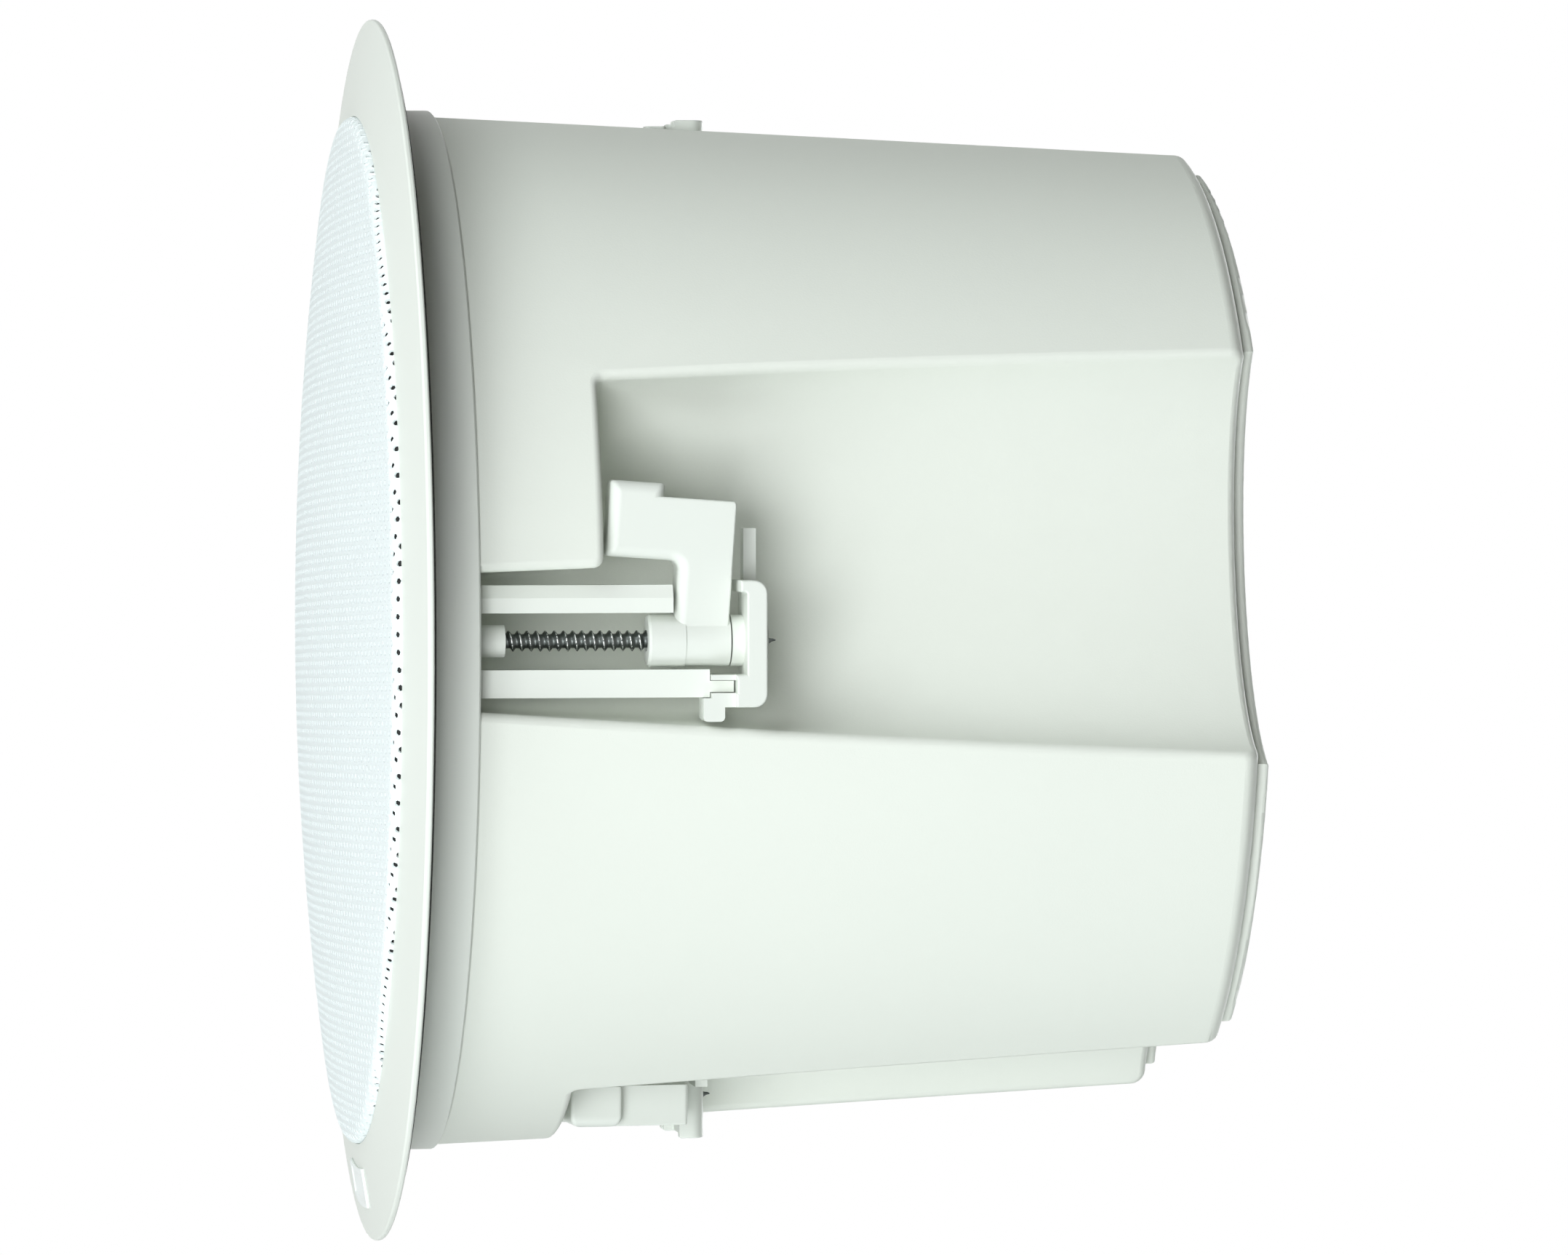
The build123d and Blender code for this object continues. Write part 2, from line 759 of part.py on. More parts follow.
def basket():
    wall_top = basket_neck - basket_sheet
    ledge_inner = ledge_radius - ledge_width
    body = turned([
        (basket_radius, basket_front), (basket_radius, baffle_height), (basket_neck, baffle_height),
        (ledge_radius, ledge_height), (ledge_inner, ledge_height), (ledge_inner, basket_depth),
        (basket_base_hole, basket_depth), (basket_base_hole, basket_depth - basket_sheet),
        (ledge_inner - basket_sheet, basket_depth - basket_sheet),
        (ledge_inner - basket_sheet, ledge_height - basket_sheet),
        (ledge_radius - basket_sheet, ledge_height - basket_sheet), (wall_top, basket_front)])
    half_window = window_width / 2
    window = block((ledge_inner, -half_window, window_low), (basket_radius, half_window, window_high))
    for k in range(basket_windows):
        body -= Rot(0, 0, 360 / basket_windows * k) * window
    for x, y in driver_screw_places():
        body -= rod(x, y, screw_hole_radius, basket_front, baffle_height)
    return body


def surround():
    """Half-roll of rubber between the cone's lip and the basket."""
    low = basket_front - surround_sheet
    inner_roll = surround_roll - surround_sheet
    roll = Pos(roll_centre, basket_front) * (Circle(surround_roll) - Circle(inner_roll))
    roll &= Pos(roll_centre, basket_front - surround_roll) * Rectangle(2 * surround_roll, 2 * surround_roll)
    body = revolve(Plane.XZ * roll, Axis.Z)
    body += ring(cone_radius + surround_sheet, cone_radius - surround_overlap, low, basket_front)
    return body + ring(surround_outer + surround_landing, surround_outer - surround_sheet, low, basket_front)


def cone():
    lip = cone_radius - cone_lip
    neck = coil_radius
    high = basket_front + cone_depth
    middle = ((lip + neck) / 2 - cone_bow, (basket_front + high) / 2 - cone_bow)
    up = (0, cone_sheet)
    front = ThreePointArc((lip, basket_front), middle, (neck, high))
    back = Pos(*up) * ThreePointArc((lip, basket_front), middle, (neck, high))
    face = make_face([*front.edges(), Line(front @ 1, back @ 1), *back.edges(), Line(back @ 0, front @ 0)])
    body = revolve(Plane.XZ * face, Axis.Z)
    return body + ring(cone_radius, lip - cone_sheet / 2, basket_front, basket_front + cone_sheet)


def coil_former():
    return ring(coil_radius, coil_radius - former_wall, former_low, former_high)


def coil_winding():
    return ring(coil_radius + winding_wall, coil_radius, former_high - winding_length, former_high)


def spider():
    """Corrugated disc from the former to the basket's ledge."""
    high = ledge_height - basket_sheet
    inner = coil_radius + spider_collar
    outer = ledge_radius - basket_sheet - spider_landing
    step = (outer - inner) / (2 * spider_folds)
    crests = [(inner + step * k, high - spider_wave * (k % 2)) for k in range(2 * spider_folds + 1)]
    upper = [(coil_radius, high), *crests, (ledge_radius - 2 * basket_sheet, high)]
    lower = [(r, z - spider_sheet) for r, z in reversed(upper)]
    return turned([*upper, *lower])


def top_plate():
    return ring(top_plate_radius, plate_bore, plate_front, plate_back)


def magnet():
    return ring(magnet_radius, magnet_bore, plate_back, magnet_back)


def yoke():
    bore = post_radius + post_gap
    return turned([(bore, plate_front), (pole_radius, plate_front), (pole_radius, magnet_back),
                   (yoke_radius, magnet_back), (yoke_radius, yoke_back), (bore, yoke_back)])


def driver_screws():
    return [tapping_screw(x, y, basket_front, driver_screw_length) for x, y in driver_screw_places()]


# Tweeter

def tweeter_post():
    return ring(post_radius, post_bore, cup_back, yoke_back + post_nut_height)


def post_nut():
    nut = extrude(Pos(0, 0, yoke_back) * RegularPolygon(post_nut_width / 2, 6, major_radius=False),
                  post_nut_height)
    return nut - rod(0, 0, post_radius + post_gap, yoke_back, yoke_back + post_nut_height)


def tweeter_cup():
    inner = tweeter_radius - tweeter_wall
    floor = cup_back - tweeter_wall
    return turned([(tweeter_radius, tweeter_front_z), (tweeter_radius, cup_back), (post_bore, cup_back),
                   (post_bore, floor), (inner, floor), (inner, tweeter_front_z)])


def tweeter_magnet():
    high = cup_back - tweeter_wall
    return rod(0, 0, tweeter_magnet_radius, high - tweeter_magnet_height, high)


def dome_rim_z():
    return tweeter_front_z - dome_sheet


def tweeter_dome():
    """Domed diaphragm with its short former."""
    rim = dome_rim_z()
    apex = rim - dome_rise
    inner = dome_radius - dome_sheet
    front = ThreePointArc((-dome_radius, rim), (0, apex), (dome_radius, rim))
    back = ThreePointArc((-inner, rim), (0, apex + dome_sheet), (inner, rim))
    face = make_face([*front.edges(), Line(front @ 1, back @ 1), *back.edges(), Line(back @ 0, front @ 0)])
    face &= Pos(dome_radius, 0) * Rectangle(2 * dome_radius, 4 * dome_radius)
    return revolve(Plane.XZ * face, Axis.Z) + ring(dome_radius, inner, rim, rim + dome_former_length)


def tweeter_surround():
    return ring(dome_radius + dome_surround_width, dome_radius, dome_rim_z(), tweeter_front_z)


def tweeter_front():
    """Trim ring that clamps the dome's surround to the cup."""
    back = dome_rim_z()
    low = back - tweeter_front_thickness
    body = ring(tweeter_front_radius, tweeter_front_opening, low, back)
    return body + ring(tweeter_front_radius, tweeter_radius, back, tweeter_front_z + tweeter_wall)


# Crossover

def crossover_board():
    body = box_about_axis(board_length, board_width, board_front, board_back)
    for x, y in board_screw_places():
        body -= rod(x, y, screw_hole_radius, board_front, board_back)
    return body


def board_screws():
    return [tapping_screw(x, y, board_front, board_screw_length) for x, y in board_screw_places()]


def inductor():
    """Winding between the two flanges of its bobbin."""
    low = board_front - inductor_height
    waist = inductor_radius - inductor_flange
    body = turned([(inductor_core, low), (inductor_radius, low), (inductor_radius, low + inductor_flange),
                   (waist, low + inductor_flange), (waist, board_front - inductor_flange),
                   (inductor_radius, board_front - inductor_flange), (inductor_radius, board_front),
                   (inductor_core, board_front)])
    return Pos(inductor_x, 0, 0) * body


def capacitors():
    lying = Rot(90, 0, 0) * Cylinder(capacitor_radius, capacitor_length)
    lying = fillet(lying.edges(), capacitor_radius / 6)
    centre = board_front - capacitor_radius
    return [Pos(capacitor_x + capacitor_pitch * (k - 0.5), 0, centre) * lying for k in range(2)]


def resistor():
    half_x = resistor_width / 2
    half_y = resistor_length / 2
    return block((resistor_x - half_x, -half_y, board_front - resistor_height),
                 (resistor_x + half_x, half_y, board_front))


# Input terminal

def terminal_block():
    body = box_about_axis(terminal_length, terminal_width, board_back, terminal_top)
    pitch = terminal_length / terminal_ways
    for k in range(terminal_ways):
        x = pitch * (k + 0.5) - terminal_length / 2
        body -= rod(x, 0, terminal_hole_radius, terminal_top - terminal_hole_depth, terminal_top)
    return body


def terminal_cover():
    length = recess_length + 2 * (cover_margin - cover_fit)
    width = recess_width + 2 * (cover_margin - cover_fit)
    body = box_about_axis(length, width, cover_low, panel_top)
    for x, y in cover_screw_places():
        body -= countersunk_screw(x, y, thread_gap)
    return body - rod(0, bush_offset, bush_radius, cover_low, panel_top)


def countersunk_screw(x, y, grow):
    """Flush screw that points down from the cover's face, grown by a gap."""
    shank = cover_screw_radius + grow
    head = cover_head_radius + grow
    body = turned([(0, cover_low - cover_screw_length), (shank, cover_low - cover_screw_length),
                   (shank, cover_low), (head, panel_top), (0, panel_top)])
    return Pos(x, y, 0) * body


def cover_screws():
    slot = Box(2 * cover_head_radius, drive_width, cover_thickness)
    return [countersunk_screw(x, y, 0) - Pos(x, y, panel_top) * slot for x, y in cover_screw_places()]


def cable_bush():
    """Rubber bush in the cover for the ceiling's own cable."""
    lip = bush_radius + bush_lip
    low = cover_low - bush_lip_height
    high = panel_top + bush_lip_height
    body = ring(bush_radius, bush_bore, low, high)
    body += ring(lip, bush_bore, low, cover_low) + ring(lip, bush_bore, panel_top, high)
    return Pos(0, bush_offset, 0) * body


# Wiring and damping

def tag_strip():
    """Strip on the basket's ledge where the woofer's lead is soldered."""
    inner = tag_circle - tag_width / 2
    outer = tag_circle + tag_width / 2
    return block((-tag_length / 2, -outer, ledge_height), (tag_length / 2, -inner, tag_top))


def lead(corners):
    path = FilletPolyline(*corners, radius=lead_bend)
    return sweep(Plane(origin=path @ 0, z_dir=path % 0) * Circle(lead_radius), path=path)


def woofer_lead():
    """Cable from the tag strip, round the magnet and through the pad to the board."""
    post_turn = (yoke_back + post_nut_height + pad_low) / 2
    return lead([(0, -tag_circle, tag_top), (0, -tag_circle, post_turn), (0, -lead_spacing, post_turn),
                 (0, -lead_spacing, lead_turn), (lead_x, -lead_spacing, lead_turn),
                 (lead_x, -lead_spacing, board_front)])


def tweeter_lead():
    """Cable from the tweeter, through its post and the pad to the board."""
    return lead([(0, 0, cup_back - tweeter_wall), (0, 0, lead_turn), (lead_x, 0, lead_turn),
                 (lead_x, 0, board_front)])


def damping_pad():
    """Fibre pad that fills the can behind the woofer, with a way through for the leads."""
    grow = can_wall + pad_gap
    plan = Circle(can_radius(pad_high) - grow)
    for pocket in turned_copies(pocket_plan(pad_high, grow)):
        plan -= Pos(0, 0, -pad_high) * pocket
    body = extrude(Pos(0, 0, pad_low) * plan, pad_thickness)
    return body - rod(0, 0, pad_hole_radius, pad_low, pad_high)


can = back_can()
nodes = {
    "front_bezel": front_bezel(),
    "ceiling_seal": ceiling_seal(),
    "grille": grille(),
    "grille_cloth": grille_cloth(),
    "blank_badge": blank_badge(),
    "back_can": can,
    "can_gasket": can_gasket(can),
    "can_screws": can_screws(),
    "basket": basket(),
    "surround": surround(),
    "cone": cone(),
    "coil_former": coil_former(),
    "coil_winding": coil_winding(),
    "spider": spider(),
    "top_plate": top_plate(),
    "magnet": magnet(),
    "yoke": yoke(),
    "driver_screws": driver_screws(),
    "tweeter_post": tweeter_post(),
    "post_nut": post_nut(),
    "tweeter_cup": tweeter_cup(),
    "tweeter_magnet": tweeter_magnet(),
    "tweeter_dome": tweeter_dome(),
    "tweeter_surround": tweeter_surround(),
    "tweeter_front": tweeter_front(),
    "crossover_board": crossover_board(),
    "board_screws": board_screws(),
    "inductor": inductor(),
    "capacitors": capacitors(),
    "resistor": resistor(),
    "terminal_block": terminal_block(),
    "terminal_cover": terminal_cover(),
    "cover_screws": cover_screws(),
    "cable_bush": cable_bush(),
    "tag_strip": tag_strip(),
    "woofer_lead": woofer_lead(),
    "tweeter_lead": tweeter_lead(),
    "damping_pad": damping_pad(),
}
for make in (clamp_dog, clamp_screw, clamp_cap):
    for k, piece in enumerate(turned_copies(make())):
        nodes[f"{make.__name__}_{k + 1}"] = piece

os.makedirs("parts", exist_ok=True)
for name, shape in nodes.items():
    pieces = shape if isinstance(shape, list) else [shape]
    export_step(Compound(children=pieces), f"parts/{name}.step")
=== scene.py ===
import json
import math

import bpy
from mathutils import Matrix, Vector


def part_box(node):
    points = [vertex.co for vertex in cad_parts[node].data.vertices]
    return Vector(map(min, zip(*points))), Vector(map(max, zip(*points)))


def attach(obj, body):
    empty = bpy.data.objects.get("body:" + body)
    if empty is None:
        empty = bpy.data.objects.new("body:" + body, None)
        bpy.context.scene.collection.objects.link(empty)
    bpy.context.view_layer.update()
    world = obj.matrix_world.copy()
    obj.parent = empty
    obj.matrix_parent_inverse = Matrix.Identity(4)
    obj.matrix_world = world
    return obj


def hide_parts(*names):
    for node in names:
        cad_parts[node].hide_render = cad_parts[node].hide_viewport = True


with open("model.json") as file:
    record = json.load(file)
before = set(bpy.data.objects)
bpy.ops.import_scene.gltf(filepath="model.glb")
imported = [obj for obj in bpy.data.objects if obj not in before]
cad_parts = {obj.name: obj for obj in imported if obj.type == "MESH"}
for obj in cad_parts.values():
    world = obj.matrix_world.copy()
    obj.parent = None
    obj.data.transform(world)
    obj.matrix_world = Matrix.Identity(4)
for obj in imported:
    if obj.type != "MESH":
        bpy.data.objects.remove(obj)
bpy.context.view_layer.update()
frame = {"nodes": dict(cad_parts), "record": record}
nodes = frame["nodes"]

MM = 0.001
CLAMPS = 4
MERGE_DISTANCE = MM / 1000
SMOOTH_ANGLE = math.radians(30)

# Camera: the part lies on its side in the picture, with its rear to the right and -X up
LYING = Matrix(((0, -1, 0), (0, 0, -1), (1, 0, 0)))
CAMERA_PLACE = Vector((-38.5, -1616.3, -150.4)) * MM
CAMERA_TURN = math.radians(-1.46)
CAMERA_YAW = -0.14428
CAMERA_PITCH = 0.00175
CAMERA_ROLL = -0.00448
CAMERA_LENS = 181.22
CAMERA_SENSOR = 36.0

# Perforated sheet of the grille and the cloth that lines it
HOLE_ROW_SPACING = 1.73 * MM
HOLE_DIAMETER = 1.4 * MM
HOLE_SIDES = 6
ROW_LEAN = 1.8
ROW_TURN = math.radians(45 - ROW_LEAN)
SHEET_THICKNESS = 0.5 * MM
GRILLE_BEND = 1.9 * MM
LAST_ROWS = 0.5 * MM
CLOTH_GAP = 0.25 * MM
CLOTH_THICKNESS = 0.25 * MM
CLOTH_RINGS = 24
CLOTH_STEPS = 120

# Thread of the clamp screws, with the shares of its pitch where the flank starts and the crest lies
THREAD_PITCH = 1.79 * MM
THREAD_ROOT = 1.38 * MM
THREAD_CREST = 2.05 * MM
FLANK_START = 0.40
CREST_START = 0.66
CREST_END = 0.72
THREAD_POINT = 6.0 * MM
THREAD_STEPS = 28
POINT_BLUNTNESS = 0.08
POINT_FULLNESS = 0.7
HEAD_DEPTH = 2.6 * MM

# Blank badge
BADGE_FRAME = 1.1 * MM
BADGE_SINK = 0.3 * MM
BADGE_EDGE = 0.18 * MM
BADGE_FLATNESS = math.radians(2)
FACING_FRONT = -0.7

# Marks in the finishes
CLOUD_SIZE = 30 * MM
RUB_SIZE = 6 * MM
SCRATCH_SIZE = 0.5 * MM
SCRATCH_DEPTH = 0.02 * MM
HAZE_SIZE = 4 * MM
TOOL_LINE_SIZE = 0.3 * MM
TOOL_LINE_DEPTH = 0.01 * MM
VARNISH_SIZE = 3 * MM
RESIN_SIZE = 5 * MM
DUST_SIZE = 4 * MM
GLASS_THREAD = 0.4 * MM
TRACK_WIDTH = 3 * MM
TRACK_BREAKS = 9 * MM
TRACK_HEIGHT = 0.05 * MM
MATT = {"Specular IOR Level": 0.2}

# Scale of a wave texture with bands one unit wide, and the colour sockets of a mix node
UNIT_BANDS = math.pi / 10
MIX_SHARE = 0
MIX_FIRST = 6
MIX_SECOND = 7
MIX_COLOUR = 2

# Studio
FLOOR_HEIGHT = -2.4
FLOOR_SIZE = 30.0
FLOOR_COLOUR = (0.86, 0.87, 0.86, 1)
AMBIENT = (0.02, 0.02, 0.012, 1)
LAMPS = {
    "key": dict(place=(0.3, -2.0, -0.75), size=1.4, power=39, colour=(0.95, 0.98, 1.0)),
    "top": dict(place=(-1.4, -0.9, -1.1), size=1.4, power=22, colour=(0.94, 0.99, 1.0)),
    "low": dict(place=(1.7, -0.8, -0.4), size=1.4, power=18, colour=(0.92, 0.99, 1.0)),
    "rear": dict(place=(0.0, 1.5, 1.7), size=1.4, power=42, colour=(0.95, 0.98, 1.0)),
}
LAMP_TARGET = Vector((0, 0, 0.07))


# Modelling by hand

def start_mesh(name):
    """Names the primitive that was just added, with its mesh."""
    piece = bpy.context.active_object
    piece.name = name
    piece.data.name = name
    return piece


def only(piece):
    """Makes one piece the whole selection."""
    bpy.ops.object.select_all(action="DESELECT")
    piece.select_set(True)
    bpy.context.view_layer.objects.active = piece


def mode(name):
    bpy.ops.object.mode_set(mode=name)


def pick(piece, kind, wanted):
    """Selects the edges or faces of a piece that pass a test, and enters edit mode."""
    only(piece)
    mode("EDIT")
    bpy.ops.mesh.select_mode(type=kind)
    bpy.ops.mesh.select_all(action="DESELECT")
    mode("OBJECT")
    parts = piece.data.edges if kind == "EDGE" else piece.data.polygons
    for part in parts:
        part.select = wanted(part)
    mode("EDIT")


def apply_modifier(piece, kind, **settings):
    only(piece)
    modifier = piece.modifiers.new(kind.title(), kind)
    for name, value in settings.items():
        setattr(modifier, name, value)
    bpy.ops.object.modifier_apply(modifier=modifier.name)


def face_outwards(piece):
    """Merges doubles and turns every face outwards."""
    only(piece)
    mode("EDIT")
    bpy.ops.mesh.select_all(action="SELECT")
    bpy.ops.mesh.remove_doubles(threshold=MERGE_DISTANCE)
    bpy.ops.mesh.normals_make_consistent(inside=False)
    mode("OBJECT")


def draw_profile(name, points):
    """Draws a chain of edges through (x, z) points, as one vertex that is extruded again and again."""
    bpy.ops.object.select_all(action="DESELECT")
    bpy.ops.mesh.primitive_plane_add(size=MM, location=(0, 0, 0))
    piece = start_mesh(name)
    mode("EDIT")
    bpy.ops.mesh.select_mode(type="VERT")
    bpy.ops.mesh.select_all(action="SELECT")
    bpy.ops.mesh.merge(type="CENTER")
    here = Vector((points[0][0], 0, points[0][1]))
    bpy.ops.transform.translate(value=here)
    for x, z in points[1:]:
        step = Vector((x, 0, z)) - here
        bpy.ops.mesh.extrude_vertices_move(TRANSFORM_OT_translate={"value": step})
        here += step
    mode("OBJECT")
    return piece


def cut_away(piece, height, upper):
    """Cuts a piece at a height, closes the cut and drops the part above or below it."""
    only(piece)
    mode("EDIT")
    bpy.ops.mesh.select_all(action="SELECT")
    bpy.ops.mesh.bisect(plane_co=(0, 0, height), plane_no=(0, 0, 1), use_fill=True,
                        clear_outer=upper, clear_inner=not upper)
    mode("OBJECT")


def copy_node(node, name):
    """Copy of a CAD node's mesh with its loose triangles merged."""
    mesh = nodes[node].data.copy()
    mesh.name = name
    piece = bpy.data.objects.new(name, mesh)
    bpy.context.scene.collection.objects.link(piece)
    face_outwards(piece)
    return piece


def join(piece, *others):
    only(piece)
    for other in others:
        other.select_set(True)
    bpy.ops.object.join()


def smooth(piece):
    only(piece)
    bpy.ops.object.shade_smooth_by_angle(angle=SMOOTH_ANGLE)


def put_in_mesh(piece):
    """Puts a piece's place and turn into its mesh."""
    only(piece)
    bpy.ops.object.transform_apply(location=True, rotation=True, scale=True)


def mount(piece, body, node, slot):
    """Lets a piece stand for a CAD node, move with its body and take its slot's finish."""
    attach(piece, body)
    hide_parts(node)
    piece.data.materials.clear()
    piece.data.materials.append(finishes[slot])


# Perforated grille

def perforated_cell(pitch):
    """One square of the sheet with its hole, facing out of the front."""
    bpy.ops.object.select_all(action="DESELECT")
    bpy.ops.mesh.primitive_plane_add(size=pitch, location=(0, 0, 0))
    sheet = start_mesh("grille_sheet")
    mode("EDIT")
    bpy.ops.mesh.select_all(action="SELECT")
    bpy.ops.mesh.delete(type="ONLY_FACE")
    bpy.ops.mesh.primitive_circle_add(vertices=HOLE_SIDES, radius=HOLE_DIAMETER / 2)
    bpy.ops.mesh.select_mode(type="EDGE")
    bpy.ops.mesh.select_all(action="SELECT")
    bpy.ops.mesh.bridge_edge_loops()
    bpy.ops.mesh.select_all(action="SELECT")
    bpy.ops.mesh.normals_make_consistent(inside=False)
    mode("OBJECT")
    if sheet.data.polygons[0].normal.z > 0:
        mode("EDIT")
        bpy.ops.mesh.flip_normals()
        mode("OBJECT")
    return sheet


class Dish:
    """Outside of the grille: a dome, the bend at its edge and the skirt in the bezel's groove."""

    def __init__(self):
        low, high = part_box("grille")
        self.apex = low.z
        self.outer = high.x
        self.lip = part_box("front_bezel")[0].z
        rise = self.lip - self.apex
        reach = self.outer - GRILLE_BEND
        self.radius = (reach ** 2 + rise ** 2 - GRILLE_BEND ** 2) / (2 * (rise - GRILLE_BEND))
        self.slope = math.asin(reach / (self.radius - GRILLE_BEND))
        self.dome_end = self.radius * self.slope
        self.bend_end = self.dome_end + GRILLE_BEND * (math.pi / 2 - self.slope)
        self.skirt_end = self.bend_end + high.z - self.lip

    def fold(self, flat, under=0.0):
        """Radius and height of a place at a distance from the middle of the flat sheet, or under it."""
        if flat < self.dome_end:
            turn = flat / self.radius
            radius = self.radius - under
            return radius * math.sin(turn), self.apex + self.radius - radius * math.cos(turn)
        if flat < self.bend_end:
            turn = self.slope + (flat - self.dome_end) / GRILLE_BEND
            radius = GRILLE_BEND - under
            return self.outer - GRILLE_BEND + radius * math.sin(turn), self.lip - radius * math.cos(turn)
        return self.outer - under, self.lip + flat - self.bend_end


def perforated_disc(radius, pitch):
    """Rows of holes, turned so that they run to and fro, out to a stepped edge."""
    sheet = perforated_cell(pitch)
    count = 2 * math.ceil(radius / pitch) + 1
    for direction in ((pitch, 0, 0), (0, pitch, 0)):
        apply_modifier(sheet, "ARRAY", count=count, use_relative_offset=False, use_constant_offset=True,
                       constant_offset_displace=direction, use_merge_vertices=True,
                       merge_threshold=MERGE_DISTANCE)
    middle = (count - 1) / 2 * pitch
    sheet.location = (-middle, -middle, 0)
    put_in_mesh(sheet)

    def outside(face):
        cell = [round(c / pitch) * pitch for c in face.center[:2]]
        return math.hypot(*cell) > radius

    pick(sheet, "FACE", outside)
    bpy.ops.mesh.delete(type="FACE")
    mode("OBJECT")
    sheet.rotation_euler.z = ROW_TURN
    put_in_mesh(sheet)
    return sheet


def select_stepped_edge(sheet, pitch):
    """Selects the cells' own open edges, which are longer than those round a hole."""
    uses = {}
    for face in sheet.data.polygons:
        for key in face.edge_keys:
            uses[key] = uses.get(key, 0) + 1
    corners = sheet.data.vertices

    def on_edge(edge):
        start, end = (corners[v].co for v in edge.vertices)
        return uses[edge.key] == 1 and (end - start).length > pitch / 2

    pick(sheet, "EDGE", on_edge)


def perforated_grille(dish):
    """Flat sheet of holes with a plain edge, folded over the dish."""
    pitch = HOLE_ROW_SPACING * math.sqrt(2)
    last = dish.bend_end + LAST_ROWS
    sheet = perforated_disc(last, pitch)
    select_stepped_edge(sheet, pitch)
    for distance in (last + pitch, dish.skirt_end):
        bpy.ops.mesh.extrude_edges_move()
        mode("OBJECT")
        for v in sheet.data.vertices:
            if v.select:
                v.co.xy = v.co.xy.normalized() * distance
        mode("EDIT")
    mode("OBJECT")
    for v in sheet.data.vertices:
        distance = v.co.xy.length
        radius, height = dish.fold(distance)
        v.co.xy *= radius / distance
        v.co.z = height
    apply_modifier(sheet, "SOLIDIFY", thickness=SHEET_THICKNESS, offset=-1)
    smooth(sheet)
    mount(sheet, "housing", "grille", "white_grille")


def lining_cloth(dish):
    """Cloth stretched over the inside of the grille."""
    under = SHEET_THICKNESS + CLOTH_GAP
    flats = [dish.dome_end * k / CLOTH_RINGS for k in range(CLOTH_RINGS)]
    flats += [dish.dome_end, (dish.dome_end + dish.bend_end) / 2, dish.bend_end]
    cloth = draw_profile("lining_cloth", [dish.fold(flat, under) for flat in flats])
    apply_modifier(cloth, "SCREW", axis="Z", steps=CLOTH_STEPS, render_steps=CLOTH_STEPS,
                   use_merge_vertices=True, merge_threshold=MERGE_DISTANCE)
    face_outwards(cloth)
    apply_modifier(cloth, "SOLIDIFY", thickness=CLOTH_THICKNESS, offset=0)
    smooth(cloth)
    mount(cloth, "housing", "grille_cloth", "grille_cloth")
    width = 2 * dish.bend_end
    math.pi * dish.bend_end ** 2


# Clamp screws

def threaded_shank(name, seat, tip):
    """Right-hand thread from the head's seat to a point."""
    outline = [(THREAD_ROOT, 0), (THREAD_ROOT, FLANK_START),
               (THREAD_CREST, CREST_START), (THREAD_CREST, CREST_END), (THREAD_ROOT, 1)]
    shank = draw_profile(name, [(r, z * THREAD_PITCH) for r, z in outline])
    turns = math.ceil((tip - seat) / THREAD_PITCH) + 2
    apply_modifier(shank, "SCREW", axis="Z", screw_offset=THREAD_PITCH, iterations=turns,
                   steps=THREAD_STEPS, render_steps=THREAD_STEPS, use_merge_vertices=True,
                   merge_threshold=MERGE_DISTANCE)
    shank.location.z = seat - THREAD_PITCH
    put_in_mesh(shank)
    face_outwards(shank)
    cut_away(shank, seat, upper=False)
    cut_away(shank, tip, upper=True)
    for v in shank.data.vertices:
        left = max(0, tip - v.co.z) / THREAD_POINT
        v.co.xy *= min(1, max(POINT_BLUNTNESS, left ** POINT_FULLNESS))
    return shank


def mark_crests(screw, axis):
    """Keeps how far each point stands out of the thread, for the painted highlight and wear on its
    crests.
    """
    crest = screw.data.attributes.new("crest", "FLOAT", "POINT")
    for v in screw.data.vertices:
        out = (v.co.xy - axis).length - THREAD_ROOT
        crest.data[v.index].value = min(1, max(0, out / (THREAD_CREST - THREAD_ROOT)))


def clamp_screw(number):
    node = f"clamp_screw_{number}"
    low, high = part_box(node)
    axis = (low + high).xy / 2
    seat = low.z + HEAD_DEPTH
    screw = threaded_shank(f"threaded_screw_{number}", seat - THREAD_PITCH / 2, high.z)
    screw.location.xy = axis
    put_in_mesh(screw)
    face_outwards(screw)
    head = copy_node(node, f"screw_head_{number}")
    cut_away(head, seat, upper=True)
    join(screw, head)
    mark_crests(screw, axis)
    smooth(screw)
    mount(screw, f"clamp_{number}", node, "black_steel")


# Blank badge

def framed_badge():
    """Plate with a raised frame and softened edges."""
    badge = copy_node("blank_badge", "framed_badge")
    only(badge)
    mode("EDIT")
    bpy.ops.mesh.select_all(action="SELECT")
    bpy.ops.mesh.dissolve_limited(angle_limit=BADGE_FLATNESS)
    mode("OBJECT")
    pick(badge, "FACE", lambda face: face.normal.z < FACING_FRONT)
    bpy.ops.mesh.inset(thickness=BADGE_FRAME, depth=0)
    bpy.ops.mesh.inset(thickness=BADGE_SINK, depth=-BADGE_SINK)
    mode("OBJECT")
    apply_modifier(badge, "BEVEL", width=BADGE_EDGE, segments=2, limit_method="ANGLE")
    smooth(badge)
    mount(badge, "housing", "blank_badge", "badge")


# Finishes

